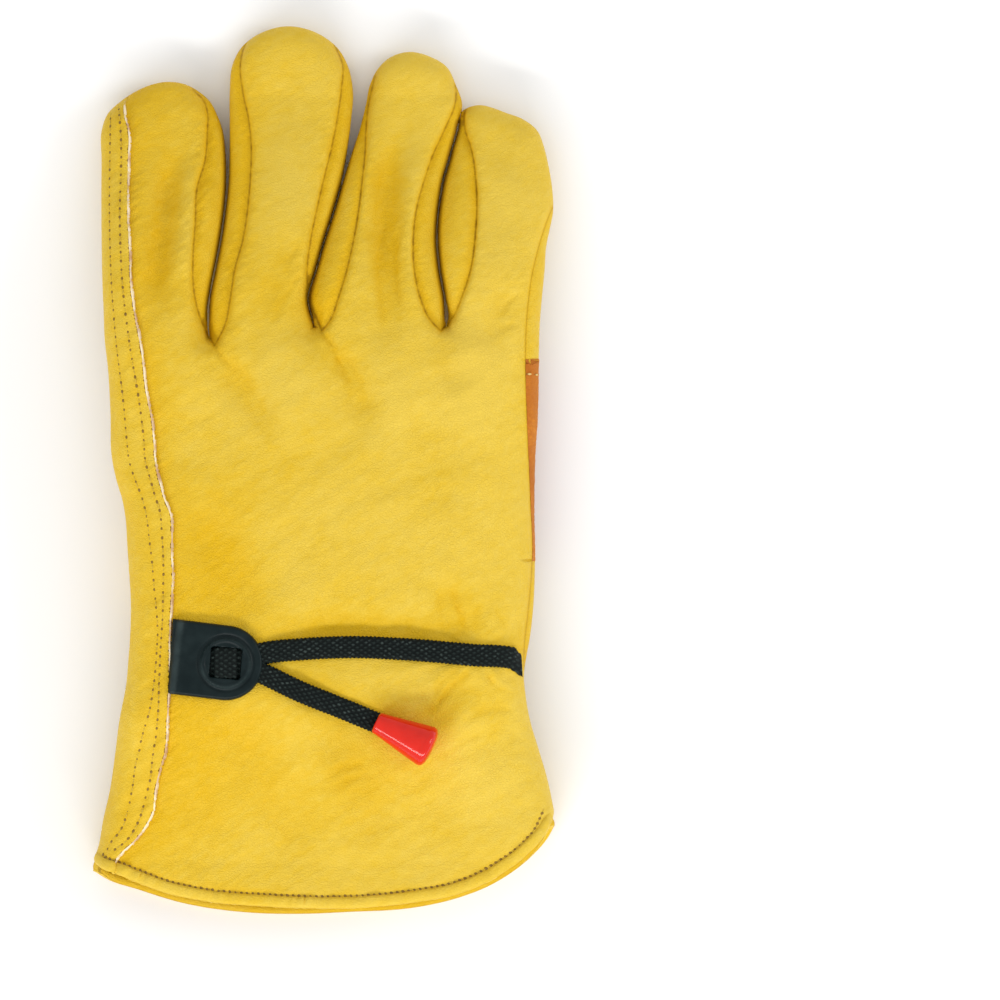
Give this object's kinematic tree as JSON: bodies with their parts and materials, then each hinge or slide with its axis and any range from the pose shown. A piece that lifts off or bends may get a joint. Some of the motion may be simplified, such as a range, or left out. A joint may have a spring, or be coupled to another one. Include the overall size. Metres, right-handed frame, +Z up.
{
  "type": "heat resistant leather work glove",
  "caption": "Right-hand leather driver glove lying palm down, thumb folded under, with a wrist strap, red pull and suede palm patch.",
  "frame": {"origin": "centre of the glove's footprint, on the surface it lies on", "axes": "+X towards the little finger, +Y towards the fingertips, +Z up from the back of the hand"},
  "size_m": [0.1322, 0.2548, 0.0391],
  "materials": {
    "leather": "soft grain, satin",
    "suede": "napped suede",
    "tab_plastic": "satin moulded",
    "webbing": "woven",
    "pull_plastic": "glossy"
  },
  "bodies": {
    "root": {"back_panel": "leather", "index_middle_gusset": "leather", "middle_ring_gusset": "leather", "ring_little_gusset": "leather", "palm_panel": "leather", "middle_ring_palm": "leather", "palm_welt": "leather", "thumb": "leather", "back_hem": "leather", "palm_hem": "leather", "palm_patch": "suede", "closure_tab": "tab_plastic", "strap": "webbing", "strap_in_window": "webbing", "strap_pull": "pull_plastic"}
  },
  "joints": []
}
